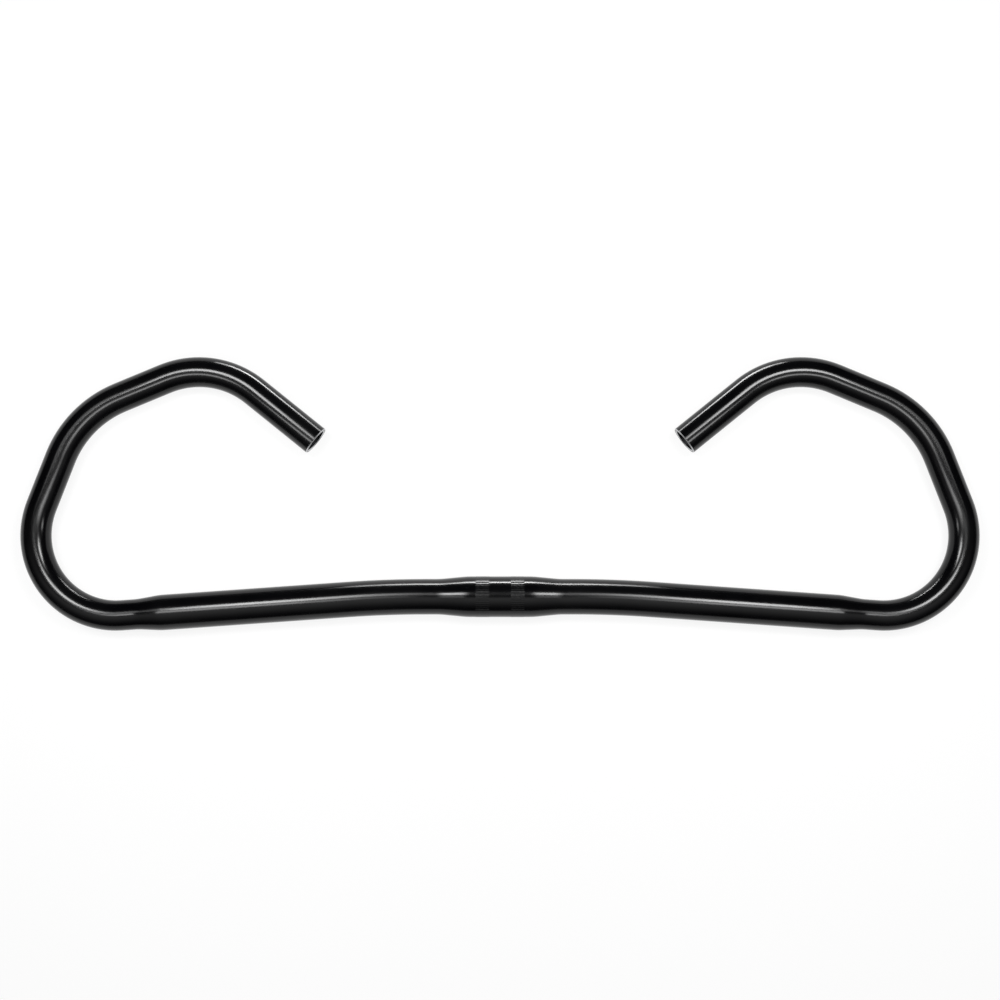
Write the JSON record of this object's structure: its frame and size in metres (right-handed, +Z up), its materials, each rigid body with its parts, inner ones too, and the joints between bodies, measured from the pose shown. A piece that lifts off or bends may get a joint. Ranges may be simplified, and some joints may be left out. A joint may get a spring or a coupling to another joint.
{
  "type": "multi-position handlebar",
  "caption": "Wide bent handlebar tube with a knurled stem clamp, straight grip stretches and open loops that turn back towards the rider.",
  "frame": {"origin": "middle of the stem clamp, on the tube's axis", "axes": "+X along the clamp towards the rider's right, +Y forwards from the clamp towards the loops, +Z up, square to the plane of the bar"},
  "size_m": [0.6004, 0.1721, 0.0256],
  "materials": {
    "black_tube": "gloss black coated aluminium tube, bare metal at the two cut ends"
  },
  "bodies": {
    "root": {"handlebar": "black_tube"}
  },
  "joints": []
}
